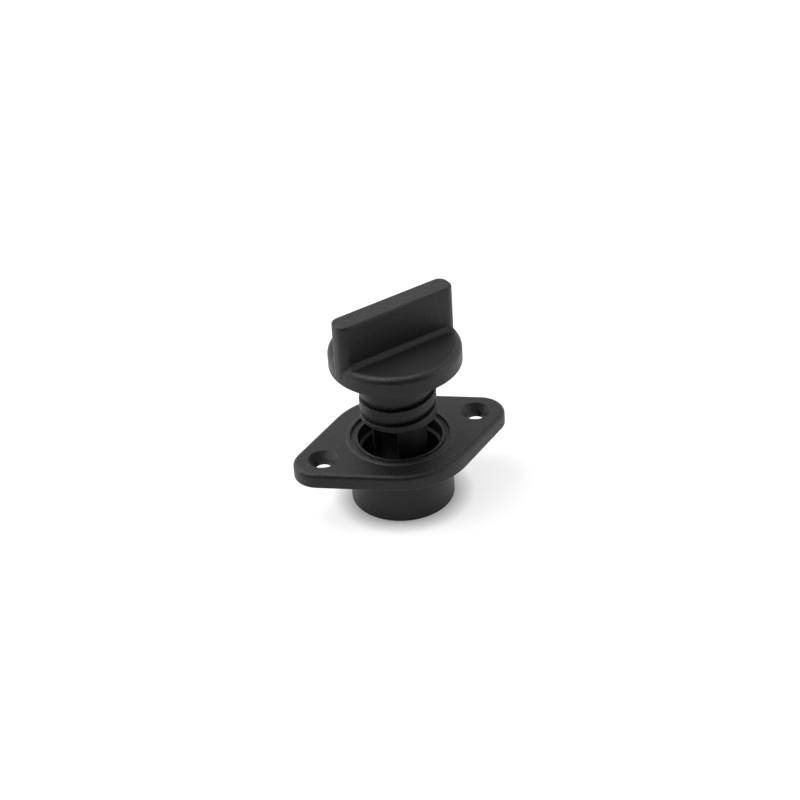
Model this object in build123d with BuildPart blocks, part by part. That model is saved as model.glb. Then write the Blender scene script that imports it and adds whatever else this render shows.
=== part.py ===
"""Captive drain plug and socket, moulded in black plastic.

A two-hole flanged socket with a short spigot is screwed over a hole in a hull or deck. A wing-headed
plug screws down into it. Two slotted legs under the plug's thread carry hooks that keep it captive.

Frame: origin on the bore axis at the flange's underside, +Z up out of the hull, +X through the screw
holes. The plug is drawn unscrewed and raised, with its feet level with the end of the spigot.
"""
from build123d import *

import os
from math import cos, hypot, isclose, radians, sin

# Flange: a round middle drawn out to two round ends
flange_thickness = 4.1
flange_middle_radius = 19.5
flange_end_radius = 6.8
flange_end_offset = 23.0
flange_top_fillet = 1.25
flange_bottom_fillet = 0.3

# Countersunk screw holes, and the shallow sealant pockets moulded around them underneath
screw_offset = 22.0
screw_hole_radius = 2.25
countersink_radius = 3.9
pocket_depth = 0.8
pocket_margin = 2.5
pocket_inner_radius = 17.0

# Spigot that fills the hole in the hull
spigot_radius = 13.5
spigot_length = 14.1
spigot_end_fillet = 0.6

# Mouth of the bore: a ledge around it, a shallow groove, then a raised rim
mouth_radius = 11.0
mouth_depth = 3.6
mouth_edge_fillet = 0.25
ledge_radius = 11.8
rim_inner_radius = 13.0
rim_outer_radius = 14.3
rim_height = 0.4
rim_groove_depth = 0.4

# Thread, one start, right hand: a groove around the plug's neck and a rib inside the socket
thread_pitch = 4.6
neck_radius = 10.0
thread_depth = 1.15
thread_shoulder_round = 0.25
groove_half_width = 0.82
groove_root_half_width = 0.72
thread_bore_radius = 10.25
rib_tip_radius = 9.2
rib_tip_half_width = 0.4
rib_base_half_width = 0.7
rib_embedding = 0.35
groove_angle = -114.0
groove_height = 18.55
groove_turns = 3.25
rib_turns = 1.1

# Relief at the end of the spigot, where the plug's hooks catch under the end of the bore
relief_radius = 10.9
relief_depth = 3.3

# Plug, raised by lift above its seat on the rim
plug_lift = 22.2
seat_gap = 0.1
cap_radius = 17.15
cap_thickness = 5.2
cap_top_fillet = 1.75
cap_bottom_fillet = 0.3
neck_length = 15.75
neck_end_chamfer = 0.4

# Wing on the cap
wing_angle = 8.3
wing_length = 34.7
wing_thickness = 6.2
wing_height = 12.15
wing_corner_radius = 2.6
wing_top_round = 0.7
wing_foot_fillet = 1.6
wing_overlap = 0.04
foot_end_round = 3.4
foot_end_inset = 0.3

# Gland for the sealing ring, just under the cap
gland_radius = 9.2
gland_top_gap = 0.3
gland_width = 2.2
ring_section = 1.65
ring_bore_clearance = 0.05

# Hollow stem, slotted into two springy legs with a hook on each foot
leg_radius = 7.1
core_radius = 5.0
core_roof = 2.8
leg_angle = -64.0
slot_width_angle = 68.0
hook_radius = 10.5
hook_height = 3.0
hook_land = 0.8
foot_radius = 8.8
leg_edge_round = 0.3

# Heights worked out from the above
rim_top = flange_thickness + rim_height
cap_bottom = rim_top + seat_gap + plug_lift
cap_top = cap_bottom + cap_thickness
wing_top = cap_top + wing_height
wing_root = cap_bottom + cap_thickness / 3
neck_bottom = cap_bottom - neck_length
spigot_bottom = -spigot_length
foot_bottom = spigot_bottom
thread_bore_top = flange_thickness - mouth_depth
gland_top = cap_bottom - gland_top_gap
gland_bottom = gland_top - gland_width


# Upright plane through the axis and across the wing, with y up
wing_cross_plane = Plane.YZ.rotated((0, 0, wing_angle))


def draw_flange_outline():
    """Draw the drawn-out oval of the flange, in the sketch that is open."""
    with Locations((-flange_end_offset, 0), (flange_end_offset, 0)):
        Circle(flange_end_radius)
    Circle(flange_middle_radius)
    make_hull()


def thread_start(turn):
    """Height at which the thread crosses the +X side, counted in turns from groove_height."""
    return groove_height + thread_pitch * (turn - groove_angle / 360)


def profile_plane(path):
    """Plane across the start of a helix, with x pointing out from the axis and y up it."""
    start = path @ 0
    return Plane(origin=start, x_dir=(start.X, start.Y, 0), z_dir=path % 0)


def is_on_legs_outside(edge):
    """Whether an upright edge lies on the outside of the legs."""
    return isclose(hypot(edge.center().X, edge.center().Y), leg_radius)


# Socket: flange, spigot and threaded bore in one moulding
with BuildPart() as socket:
    with BuildSketch():
        draw_flange_outline()
    extrude(amount=flange_thickness)
    fillet(socket.faces().sort_by(Axis.Z)[-1].outer_wire().edges(), flange_top_fillet)
    fillet(socket.faces().sort_by(Axis.Z)[0].outer_wire().edges(), flange_bottom_fillet)

    # Sealant pockets under the two ends
    with BuildSketch():
        draw_flange_outline()
        offset(amount=-pocket_margin, mode=Mode.REPLACE)
        Circle(pocket_inner_radius, mode=Mode.SUBTRACT)
    extrude(amount=pocket_depth, mode=Mode.SUBTRACT)

    # Spigot
    with BuildSketch():
        Circle(spigot_radius)
    extrude(amount=-spigot_length)
    fillet(socket.faces().sort_by(Axis.Z)[0].outer_wire().edges(), spigot_end_fillet)

    # Raised rim around the mouth, rounded down to the flange
    with BuildSketch(Plane.XZ):
        with BuildLine():
            rim_crest = (rim_inner_radius + 0.35 * (rim_outer_radius - rim_inner_radius), rim_top)
            Polyline(
                (rim_outer_radius, flange_thickness),
                (rim_outer_radius, flange_thickness - rim_height),
                (rim_inner_radius, flange_thickness - rim_height),
                (rim_inner_radius, rim_top),
                rim_crest,
            )
            TangentArc(rim_crest, (rim_outer_radius, flange_thickness), tangent=(1, 0))
        make_face()
    revolve(axis=Axis.Z)

    # Bore: mouth and threaded length, and the shallow groove inside the rim
    with BuildSketch(Plane.XZ):
        with BuildLine():
            Polyline(
                (0, rim_top),
                (rim_inner_radius, rim_top),
                (rim_inner_radius, flange_thickness - rim_groove_depth),
                (ledge_radius, flange_thickness - rim_groove_depth),
                (ledge_radius, flange_thickness),
                (mouth_radius, flange_thickness),
                (mouth_radius, thread_bore_top),
                (thread_bore_radius, thread_bore_top - (mouth_radius - thread_bore_radius) / 2),
                (thread_bore_radius, spigot_bottom),
                (0, spigot_bottom),
                close=True,
            )
        make_face()
    revolve(axis=Axis.Z, mode=Mode.SUBTRACT)
    mouth_edges = socket.edges().filter_by(GeomType.CIRCLE).filter_by_position(
        Axis.Z, flange_thickness, flange_thickness
    )
    fillet(mouth_edges.filter_by(lambda edge: edge.radius < rim_inner_radius), mouth_edge_fillet)

    # Screw holes
    with Locations((-screw_offset, 0, flange_thickness), (screw_offset, 0, flange_thickness)):
        CounterSinkHole(screw_hole_radius, countersink_radius, counter_sink_angle=90)

    # Female thread rib, its foot bedded in the wall of the bore and its lower end cut off by the relief
    with BuildLine(Plane.XY.offset(thread_start(-7))) as rib_path:
        Helix(thread_pitch, thread_pitch * rib_turns, thread_bore_radius)
    with BuildSketch(profile_plane(rib_path.line)):
        with BuildLine():
            rib_height = thread_bore_radius - rib_tip_radius
            Polyline(
                (-rib_height, -rib_tip_half_width),
                (0, -rib_base_half_width),
                (rib_embedding, -rib_base_half_width),
                (rib_embedding, rib_base_half_width),
                (0, rib_base_half_width),
                (-rib_height, rib_tip_half_width),
                close=True,
            )
        make_face()
    sweep(path=rib_path.line, is_frenet=True)
    with BuildSketch(Plane.XY.offset(spigot_bottom)):
        Circle(relief_radius)
    extrude(amount=relief_depth, mode=Mode.SUBTRACT)

# Wing: a slab with well rounded upright edges, and a small round along its top
with BuildPart() as wing:
    with BuildSketch(Plane.XY.offset(wing_root)):
        RectangleRounded(wing_length, wing_thickness, wing_corner_radius, rotation=wing_angle)
    extrude(amount=wing_top - wing_root)
    fillet(wing.faces().sort_by(Axis.Z)[-1].edges(), wing_top_round)

# Hollow fillet along both sides of the wing's foot, rounded off over the cap's shoulder. It is
# sunk by a small overlap into the wing and the cap, so that it crosses their faces cleanly.
with BuildPart() as wing_foot:
    with BuildSketch(wing_cross_plane):
        with BuildLine():
            foot_side = wing_thickness / 2 - wing_overlap
            foot_level = cap_top - wing_overlap
            foot_edge = foot_side + wing_foot_fillet
            foot_peak = foot_level + wing_foot_fillet
            Polyline((-foot_edge, foot_level), (-foot_edge, wing_root), (foot_edge, wing_root))
            Line((foot_edge, wing_root), (foot_edge, foot_level))
            TangentArc((foot_edge, foot_level), (foot_side, foot_peak), tangent=(-1, 0))
            Line((foot_side, foot_peak), (-foot_side, foot_peak))
            TangentArc((-foot_side, foot_peak), (-foot_edge, foot_level), tangent=(0, -1))
        make_face()
    extrude(amount=cap_radius, both=True)
    with BuildSketch(Plane.XZ):
        with BuildLine():
            end_radius = cap_radius - foot_end_inset
            end_level = foot_peak - foot_end_round
            Polyline(
                (end_radius - foot_end_round, foot_peak),
                (0, foot_peak),
                (0, wing_root),
                (end_radius, wing_root),
                (end_radius, end_level),
            )
            TangentArc(
                (end_radius, end_level), (end_radius - foot_end_round, foot_peak), tangent=(0, 1)
            )
        make_face()
    revolve(axis=Axis.Z, mode=Mode.INTERSECT)

# Plug: wing, cap, threaded neck and captive legs in one moulding
with BuildPart() as plug:
    # Cap
    with BuildSketch(Plane.XY.offset(cap_bottom)):
        Circle(cap_radius)
    extrude(amount=cap_thickness)
    fillet(plug.edges().group_by(Axis.Z)[-1], cap_top_fillet)
    fillet(plug.edges().group_by(Axis.Z)[0], cap_bottom_fillet)

    # Neck with the gland for the sealing ring
    with BuildSketch(Plane.XZ):
        with BuildLine():
            Polyline(
                (0, cap_bottom),
                (neck_radius, cap_bottom),
                (neck_radius, gland_top),
                (gland_radius, gland_top),
                (gland_radius, gland_bottom),
                (neck_radius, gland_bottom),
                (neck_radius, neck_bottom + neck_end_chamfer),
                (neck_radius - neck_end_chamfer, neck_bottom),
                (0, neck_bottom),
                close=True,
            )
        make_face()
    revolve(axis=Axis.Z)

    # Male thread: one groove that runs out through the end of the neck
    with BuildLine(Plane.XY.offset(thread_start(-3))) as groove_path:
        Helix(thread_pitch, thread_pitch * groove_turns, neck_radius)
    with BuildSketch(profile_plane(groove_path.line)):
        shoulder = groove_half_width + thread_shoulder_round
        middle = thread_shoulder_round * (1 - cos(radians(45)))
        with BuildLine():
            Polyline(
                (-thread_shoulder_round, -groove_half_width),
                (-thread_depth, -groove_root_half_width),
                (-thread_depth, groove_root_half_width),
                (-thread_shoulder_round, groove_half_width),
            )
            ThreePointArc(
                (-thread_shoulder_round, groove_half_width),
                (-middle, groove_half_width + middle),
                (0, shoulder),
            )
            Polyline(
                (0, shoulder),
                (thread_shoulder_round, shoulder),
                (thread_shoulder_round, -shoulder),
                (0, -shoulder),
            )
            ThreePointArc(
                (0, -shoulder),
                (-middle, -groove_half_width - middle),
                (-thread_shoulder_round, -groove_half_width),
            )
        make_face()
    sweep(path=groove_path.line, is_frenet=True, mode=Mode.SUBTRACT)

    # Stem with the hooks turned on its end
    with BuildSketch(Plane.XZ):
        with BuildLine():
            Polyline(
                (0, neck_bottom),
                (leg_radius, neck_bottom),
                (leg_radius, foot_bottom + hook_height),
                (hook_radius, foot_bottom + hook_height),
                (hook_radius, foot_bottom + hook_height - hook_land),
                (foot_radius, foot_bottom),
                (0, foot_bottom),
                close=True,
            )
        make_face()
    revolve(axis=Axis.Z)

    # Hollow core, and the two slots that part the legs
    with BuildSketch(Plane.XY.offset(foot_bottom)):
        Circle(core_radius)
    extrude(amount=cap_top - core_roof - foot_bottom, mode=Mode.SUBTRACT)
    with BuildSketch(Plane.XY.offset(foot_bottom).rotated((0, 0, leg_angle + 90))):
        with BuildLine():
            reach = 2 * hook_radius
            half_angle = radians(slot_width_angle / 2)
            Polyline(
                (0, 0),
                (reach * cos(half_angle), -reach * sin(half_angle)),
                (reach * cos(half_angle), reach * sin(half_angle)),
                close=True,
            )
        make_face()
        mirror(about=Plane.YZ)
    extrude(amount=neck_bottom - foot_bottom, mode=Mode.SUBTRACT)
    fillet(plug.edges().filter_by(Axis.Z).filter_by(is_on_legs_outside), leg_edge_round)

    add(wing.part)
    add(wing_foot.part)

# Rubber sealing ring in the gland
with BuildPart() as sealing_ring:
    ring_middle_radius = gland_radius + ring_bore_clearance + ring_section / 2
    with BuildSketch(Plane.XZ):
        with Locations((ring_middle_radius, gland_bottom + gland_width / 2)):
            Circle(ring_section / 2)
    revolve(axis=Axis.Z)

socket.part.label = "socket"
plug.part.label = "plug"
sealing_ring.part.label = "sealing_ring"

os.makedirs("parts", exist_ok=True)
export_step(socket.part, "parts/socket.step")
export_step(plug.part, "parts/plug.step")
export_step(sealing_ring.part, "parts/sealing_ring.step")
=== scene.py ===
"""Looks for the captive drain plug and socket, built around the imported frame.

The CAD nodes keep their meshes. This script gives them moulded plastic and rubber, and sets up the
studio, its lamps and the camera.
"""
import math

import bpy
from mathutils import Matrix, Vector


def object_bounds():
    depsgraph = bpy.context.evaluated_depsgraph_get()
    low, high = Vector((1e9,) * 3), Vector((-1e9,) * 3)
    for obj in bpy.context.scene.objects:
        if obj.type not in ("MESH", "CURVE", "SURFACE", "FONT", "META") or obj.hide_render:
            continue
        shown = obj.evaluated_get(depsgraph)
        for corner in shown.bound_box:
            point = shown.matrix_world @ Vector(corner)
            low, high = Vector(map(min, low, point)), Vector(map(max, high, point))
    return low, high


MM = 0.001
WHITE = (1, 1, 1, 1)

# Camera: where it stands round the object, and where it looks, from the middle of the object's box.
# The lens and the sensor are in millimetres, and angles are in degrees here and below.
CAMERA_AZIMUTH = -23.98
CAMERA_ELEVATION = 33.46
CAMERA_ROLL = -3.53
CAMERA_DISTANCE = 638.6 * MM
CAMERA_LENS = 110.76
SENSOR_WIDTH = 36.0
CLIP_START = 10 * MM
CLIP_END = 50
LOOK_AT_OFFSET = Vector((2.5, 4.28, -3.47)) * MM

# Black moulded plastic, with faint flow clouds in its colour and gloss
PLASTIC_DARK = (0.0065, 0.0065, 0.0068, 1)
PLASTIC_PALE = (0.0095, 0.0095, 0.0098, 1)
PLASTIC_ROUGHNESS = (0.41, 0.47)
PLASTIC_IOR = 1.46
# The spark-eroded grain traps part of the gloss, so this is below the usual 0.5
PLASTIC_SPECULAR = 0.35
CLOUD_SIZE = 9 * MM
CLOUD_DETAIL = 3.0
CLOUD_DISTORTION = 0.6

# The plastic's spark-eroded surface: a coarse grain with fine pits in it
GRAIN_SIZE = 0.5 * MM
GRAIN_DETAIL = 3.0
GRAIN_RELIEF = 0.13 * MM
GRAIN_ROUGHNESS = (-0.05, 0.05)
PIT_SIZE = 0.2 * MM
PIT_DETAIL = 1.0
PIT_RELIEF = 0.03 * MM

# Pale sharp edges, partly wear and partly a painted highlight, found by how far a small rounding
# bends the normal: the cosines are of the bends where the pale edge starts and where it is full.
# The clouds thin it, down to a part of its full amount.
EDGE_RADIUS = 0.35 * MM
EDGE_SAMPLES = 4
EDGE_COSINES = (0.995, 0.85)
# Pale edge colour: a painted highlight along sharp edges, with some wear
EDGE_WEAR_AND_HIGHLIGHT_COLOUR = (0.04, 0.04, 0.041, 1)
EDGE_POLISH = 0.12
EDGE_WEAR_AND_HIGHLIGHT_CLOUDS = (0.35, 0.65)
EDGE_WEAR_AND_HIGHLIGHT_LEAST = 0.4

# Nitrile rubber, with a fine skin and a slight bloom
RUBBER_DARK = (0.006, 0.006, 0.006, 1)
RUBBER_BLOOMED = (0.012, 0.012, 0.0125, 1)
RUBBER_ROUGHNESS = (0.5, 0.62)
RUBBER_IOR = 1.5
BLOOM_SIZE = 2.5 * MM
BLOOM_DETAIL = 4.0
SKIN_SIZE = 0.12 * MM
SKIN_DETAIL = 2.0
SKIN_RELIEF = 0.004 * MM

# Where nearly all of a noise's values lie
NOISE_SPREAD = (0.3, 0.7)

# Floor: a pale sheet, whose glow makes it white where it is seen. Under and round the spigot the
# glow is dimmer, a painted shadow, which the plug's gloss also shows.
FLOOR_HALF_SIZE = 3.0
FLOOR_COLOUR = (0.35, 0.35, 0.35, 1)
FLOOR_ROUGHNESS = 0.9
FLOOR_GLOW = 0.75
FLOOR_GLOW_IN_PAINTED_SHADOW = 0.3
FLOOR_PAINTED_SHADOW_RADII = (13.5 * MM, 19 * MM)

# Room: an even, dim light from all round, and white where it is seen
WORLD_RADIANCE = 0.05
WORLD_RADIANCE_SEEN = 1.0

# Black card: it is arched over the camera's side, and keeps the room out of the object's front
CARD_COLOUR = (0.01, 0.01, 0.01, 1)
CARD_ROUGHNESS = 1.0
CARD_RADIUS = 1.15
CARD_HALF_WIDTH = 1.3
CARD_STEPS = 24

# Soft boxes on the other sides, each with its bearing from the camera, positive to the camera's
# right, its elevation, its size and its radiance
SOFT_BOX_DISTANCE = 1.0
SOFT_BOXES = {
    "overhead": {"bearing": 0, "elevation": 88, "size": (0.9, 0.9), "radiance": 1.45},
    "left_high": {"bearing": -80, "elevation": 60, "size": (0.6, 0.6), "radiance": 5.0},
    "left_low": {"bearing": -112, "elevation": 10, "size": (0.6, 0.4), "radiance": 3.2},
    "back_left": {"bearing": -130, "elevation": 62, "size": (0.6, 0.6), "radiance": 2.8},
    "right": {"bearing": 84, "elevation": 33, "size": (0.6, 0.5), "radiance": 1.3},
    "right_low": {"bearing": 92, "elevation": 8, "size": (0.8, 0.4), "radiance": 1.9},
}

# Sockets of the Mix node that carry its colours
MIX_FIRST_COLOUR = 6
MIX_SECOND_COLOUR = 7
MIX_COLOUR_OUT = 2


def direction(bearing, elevation):
    """Unit vector towards a bearing, from the -Y side round to +X, and an elevation."""
    azimuth = math.radians(bearing)
    height = math.radians(elevation)
    return Vector(
        (
            math.sin(azimuth) * math.cos(height),
            -math.cos(azimuth) * math.cos(height),
            math.sin(height),
        )
    )


def add_object(name, data):
    """An object in the scene's own collection."""
    added = bpy.data.objects.new(name, data)
    bpy.context.scene.collection.objects.link(added)
    return added


def add_camera(middle):
    """The camera looks at a point near the middle of the object, with a small roll."""
    back = direction(CAMERA_AZIMUTH, CAMERA_ELEVATION)
    data = bpy.data.cameras.new("camera")
    data.lens = CAMERA_LENS
    data.sensor_width = SENSOR_WIDTH
    data.clip_start = CLIP_START
    data.clip_end = CLIP_END
    camera = add_object("camera", data)
    turn = (-back).to_track_quat("-Z", "Y").to_matrix().to_4x4()
    roll = Matrix.Rotation(math.radians(CAMERA_ROLL), 4, "Z")
    look_at = middle + LOOK_AT_OFFSET
    camera.matrix_world = Matrix.Translation(look_at + back * CAMERA_DISTANCE) @ turn @ roll
    bpy.context.scene.camera = camera


# Shader nodes


def new_material(name):
    """An empty Principled material, with its node tree and shader."""
    material = bpy.data.materials.new(name)
    material.use_nodes = True
    tree = material.node_tree
    return material, tree, tree.nodes["Principled BSDF"]


def feed(tree, value, target):
    """Join an output socket to an input socket, or set the input to a plain value."""
    if isinstance(value, bpy.types.NodeSocket):
        tree.links.new(value, target)
    else:
        target.default_value = value


def object_coordinates(tree):
    """The piece's own coordinates, which move with it."""
    return tree.nodes.new("ShaderNodeTexCoord").outputs["Object"]


def noise(tree, coordinates, size, detail, distortion=0.0):
    """Noise with features about one size across, in metres."""
    node = tree.nodes.new("ShaderNodeTexNoise")
    node.inputs["Scale"].default_value = 1 / size
    node.inputs["Detail"].default_value = detail
    node.inputs["Distortion"].default_value = distortion
    feed(tree, coordinates, node.inputs["Vector"])
    return node.outputs["Fac"]


def remap(tree, value, source, target):
    """Stretch a value from one range to another, and clamp it."""
    node = tree.nodes.new("ShaderNodeMapRange")
    for name, number in zip(("From Min", "From Max", "To Min", "To Max"), (*source, *target)):
        node.inputs[name].default_value = number
    feed(tree, value, node.inputs["Value"])
    return node.outputs["Result"]


def combine(tree, operation, first, second):
    """Math node on two values."""
    node = tree.nodes.new("ShaderNodeMath")
    node.operation = operation
    feed(tree, first, node.inputs[0])
    feed(tree, second, node.inputs[1])
    return node.outputs["Value"]


def mix_colour(tree, factor, first, second):
    """Mix two colours by a factor."""
    node = tree.nodes.new("ShaderNodeMix")
    node.data_type = "RGBA"
    feed(tree, factor, node.inputs["Factor"])
    feed(tree, first, node.inputs[MIX_FIRST_COLOUR])
    feed(tree, second, node.inputs[MIX_SECOND_COLOUR])
    return node.outputs[MIX_COLOUR_OUT]


def bump(tree, height, relief, normal=None):
    """Bump from a height of 0 to 1, with its full relief in metres."""
    node = tree.nodes.new("ShaderNodeBump")
    node.inputs["Strength"].default_value = 1.0
    node.inputs["Distance"].default_value = relief
    feed(tree, height, node.inputs["Height"])
    if normal:
        feed(tree, normal, node.inputs["Normal"])
    return node.outputs["Normal"]


def edge_mask(tree):
    """Near 1 along sharp edges, and 0 on flat faces."""
    bevel = tree.nodes.new("ShaderNodeBevel")
    bevel.samples = EDGE_SAMPLES
    bevel.inputs["Radius"].default_value = EDGE_RADIUS
    geometry = tree.nodes.new("ShaderNodeNewGeometry")
    dot = tree.nodes.new("ShaderNodeVectorMath")
    dot.operation = "DOT_PRODUCT"
    feed(tree, bevel.outputs["Normal"], dot.inputs[0])
    feed(tree, geometry.outputs["Normal"], dot.inputs[1])
    return remap(tree, dot.outputs["Value"], EDGE_COSINES, (0.0, 1.0))


def moulded_plastic(name, wear_and_highlight_amount):
    """Black moulded plastic with a fine grain, faint flow clouds, and sharp edges painted pale:
    partly wear, partly a painted highlight.
    """
    material, tree, shader = new_material(name)
    place = object_coordinates(tree)
    clouds = noise(tree, place, CLOUD_SIZE, CLOUD_DETAIL, CLOUD_DISTORTION)
    grain = noise(tree, place, GRAIN_SIZE, GRAIN_DETAIL)
    pits = noise(tree, place, PIT_SIZE, PIT_DETAIL)
    # Pale edge mask: partly wear, partly a painted highlight, thinned by the clouds
    amount = remap(tree, clouds, EDGE_WEAR_AND_HIGHLIGHT_CLOUDS, (EDGE_WEAR_AND_HIGHLIGHT_LEAST * wear_and_highlight_amount, wear_and_highlight_amount))
    wear_and_highlight = combine(tree, "MULTIPLY", edge_mask(tree), amount)

    body = mix_colour(tree, clouds, PLASTIC_DARK, PLASTIC_PALE)
    feed(tree, mix_colour(tree, wear_and_highlight, body, EDGE_WEAR_AND_HIGHLIGHT_COLOUR), shader.inputs["Base Color"])

    cloudy = remap(tree, clouds, NOISE_SPREAD, PLASTIC_ROUGHNESS)
    grainy = combine(tree, "ADD", cloudy, remap(tree, grain, NOISE_SPREAD, GRAIN_ROUGHNESS))
    polish = combine(tree, "MULTIPLY", wear_and_highlight, EDGE_POLISH)
    feed(tree, combine(tree, "SUBTRACT", grainy, polish), shader.inputs["Roughness"])

    coarse = bump(tree, grain, GRAIN_RELIEF)
    feed(tree, bump(tree, pits, PIT_RELIEF, normal=coarse), shader.inputs["Normal"])
    shader.inputs["IOR"].default_value = PLASTIC_IOR
    shader.inputs["Specular IOR Level"].default_value = PLASTIC_SPECULAR
    return material


def ring_rubber(name):
    """Nitrile rubber: matt black with a fine skin and a slight bloom."""
    material, tree, shader = new_material(name)
    place = object_coordinates(tree)
    bloom = noise(tree, place, BLOOM_SIZE, BLOOM_DETAIL)
    skin = noise(tree, place, SKIN_SIZE, SKIN_DETAIL)
    feed(tree, mix_colour(tree, bloom, RUBBER_DARK, RUBBER_BLOOMED), shader.inputs["Base Color"])
    feed(tree, remap(tree, bloom, NOISE_SPREAD, RUBBER_ROUGHNESS), shader.inputs["Roughness"])
    feed(tree, bump(tree, skin, SKIN_RELIEF), shader.inputs["Normal"])
    shader.inputs["IOR"].default_value = RUBBER_IOR
    return material


# Studio


def seen(tree):
    """1 for the camera's rays and for those it sees by gloss or through glass, 0 for the rest."""
    rays = tree.nodes.new("ShaderNodeLightPath").outputs
    direct = combine(tree, "MAXIMUM", rays["Is Camera Ray"], rays["Is Glossy Ray"])
    return combine(tree, "MAXIMUM", direct, rays["Is Transmission Ray"])


def add_sheet(name, corners, faces, low, colour, roughness):
    """A sheet with its origin level with the object's foot, and its material's tree and shader."""
    mesh = bpy.data.meshes.new(name)
    mesh.from_pydata(corners, [], faces)
    sheet = add_object(name, mesh)
    sheet.location.z = low.z
    material, tree, shader = new_material(name)
    shader.inputs["Base Color"].default_value = colour
    shader.inputs["Roughness"].default_value = roughness
    mesh.materials.append(material)
    return sheet, tree, shader


def add_floor(low):
    """The floor. From below it is clear, so that the underside can be seen."""
    half = FLOOR_HALF_SIZE
    corners = [(-half, -half, 0), (half, -half, 0), (half, half, 0), (-half, half, 0)]
    floor, tree, shader = add_sheet(
        "floor", corners, [(0, 1, 2, 3)], low, FLOOR_COLOUR, FLOOR_ROUGHNESS
    )
    radius = tree.nodes.new("ShaderNodeVectorMath")
    radius.operation = "LENGTH"
    feed(tree, object_coordinates(tree), radius.inputs[0])
    # The glow is dimmed towards the middle: a painted shadow under and round the spigot
    glows = (FLOOR_GLOW_IN_PAINTED_SHADOW, FLOOR_GLOW)
    glow = remap(tree, radius.outputs["Value"], FLOOR_PAINTED_SHADOW_RADII, glows)
    shader.inputs["Emission Color"].default_value = WHITE
    feed(tree, combine(tree, "MULTIPLY", seen(tree), glow), shader.inputs["Emission Strength"])

    clear = tree.nodes.new("ShaderNodeBsdfTransparent")
    sides = tree.nodes.new("ShaderNodeMixShader")
    under = tree.nodes.new("ShaderNodeNewGeometry").outputs["Backfacing"]
    feed(tree, under, sides.inputs["Fac"])
    feed(tree, shader.outputs["BSDF"], sides.inputs[1])
    feed(tree, clear.outputs["BSDF"], sides.inputs[2])
    feed(tree, sides.outputs["Shader"], tree.nodes["Material Output"].inputs["Surface"])


def add_world():
    """The room's light."""
    world = bpy.data.worlds.new("world")
    world.use_nodes = True
    tree = world.node_tree
    background = tree.nodes["Background"]
    background.inputs["Color"].default_value = WHITE
    strength = remap(tree, seen(tree), (0.0, 1.0), (WORLD_RADIANCE, WORLD_RADIANCE_SEEN))
    feed(tree, strength, background.inputs["Strength"])
    bpy.context.scene.world = world


def add_black_card(low):
    """The black card, from the floor on the camera's side to straight over the object."""
    side = Vector((0, 0, 1)).cross(direction(CAMERA_AZIMUTH, 0)) * CARD_HALF_WIDTH
    corners = []
    for step in range(CARD_STEPS + 1):
        reach = direction(CAMERA_AZIMUTH, 90 * step / CARD_STEPS) * CARD_RADIUS
        corners += [reach - side, reach + side]
    strips = [(2 * i, 2 * i + 1, 2 * i + 3, 2 * i + 2) for i in range(CARD_STEPS)]
    card, _, _ = add_sheet("black_card", corners, strips, low, CARD_COLOUR, CARD_ROUGHNESS)
    card.visible_camera = False


def add_soft_box(name, middle, bearing, elevation, size, radiance):
    """A rectangular lamp that faces the object, with a plain radiance."""
    data = bpy.data.lights.new(name, "AREA")
    data.shape = "RECTANGLE"
    data.size, data.size_y = size
    data.energy = radiance * math.pi * size[0] * size[1]
    lamp = add_object(name, data)
    towards = direction(CAMERA_AZIMUTH + bearing, elevation)
    turn = towards.to_track_quat("Z", "Y").to_matrix().to_4x4()
    lamp.matrix_world = Matrix.Translation(middle + towards * SOFT_BOX_DISTANCE) @ turn


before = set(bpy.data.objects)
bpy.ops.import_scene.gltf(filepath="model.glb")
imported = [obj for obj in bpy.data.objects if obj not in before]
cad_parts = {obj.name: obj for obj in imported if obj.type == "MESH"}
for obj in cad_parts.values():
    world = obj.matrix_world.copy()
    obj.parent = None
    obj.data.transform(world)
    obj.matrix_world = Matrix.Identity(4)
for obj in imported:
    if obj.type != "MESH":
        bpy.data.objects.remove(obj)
cad_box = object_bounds()
low, high = cad_box
middle = (low + high) / 2
bpy.context.scene.view_settings.view_transform = "Standard"

add_camera(middle)
add_world()
add_floor(low)
add_black_card(low)
for name, box in SOFT_BOXES.items():
    add_soft_box(name, middle, **box)

materials = {
    # Pale edges, partly wear and partly a painted highlight: less on the socket, full on the plug
    "socket": moulded_plastic("socket_plastic", wear_and_highlight_amount=0.6),
    "plug": moulded_plastic("plug_plastic", wear_and_highlight_amount=1.0),
    "sealing_ring": ring_rubber("seal_rubber"),
}
for node, material in materials.items():
    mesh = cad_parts[node].data
    mesh.materials.clear()
    mesh.materials.append(material)
